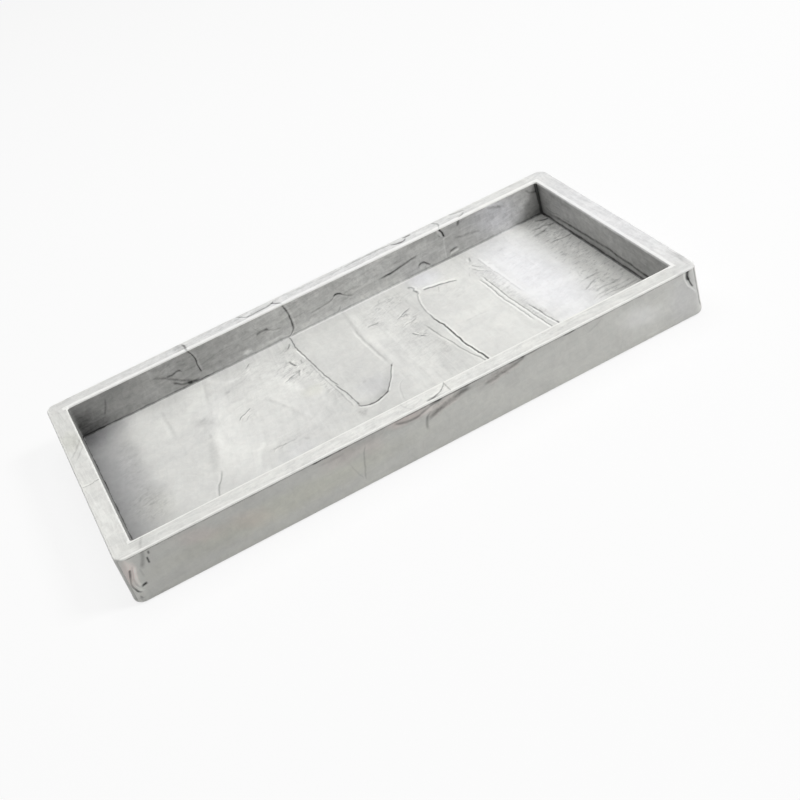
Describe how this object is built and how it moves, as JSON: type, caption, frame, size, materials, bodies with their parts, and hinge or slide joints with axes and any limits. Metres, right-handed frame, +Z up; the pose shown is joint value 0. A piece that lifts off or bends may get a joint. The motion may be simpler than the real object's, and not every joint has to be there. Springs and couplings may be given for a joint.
{
  "type": "silicone storage tray",
  "caption": "Long shallow rectangular storage tray with a wide flat rim and a flat floor, moulded in grey marbled silicone and standing on small round pads.",
  "frame": {"origin": "on the surface that the tray stands on, under the middle of its outline", "axes": "+X along the tray's long side, +Y from the front long wall to the back one, +Z up out of the open top"},
  "size_m": [0.2, 0.1, 0.018],
  "materials": {
    "marbled_silicone": "smooth satin to glossy silicone, pale grey marbled with darker and lighter swirls",
    "pad_silicone": "matt translucent grey silicone"
  },
  "bodies": {
    "root": {"tray": "marbled_silicone", "pad_front_left": "pad_silicone", "pad_front_right": "pad_silicone", "pad_back_left": "pad_silicone", "pad_back_right": "pad_silicone"}
  },
  "joints": []
}
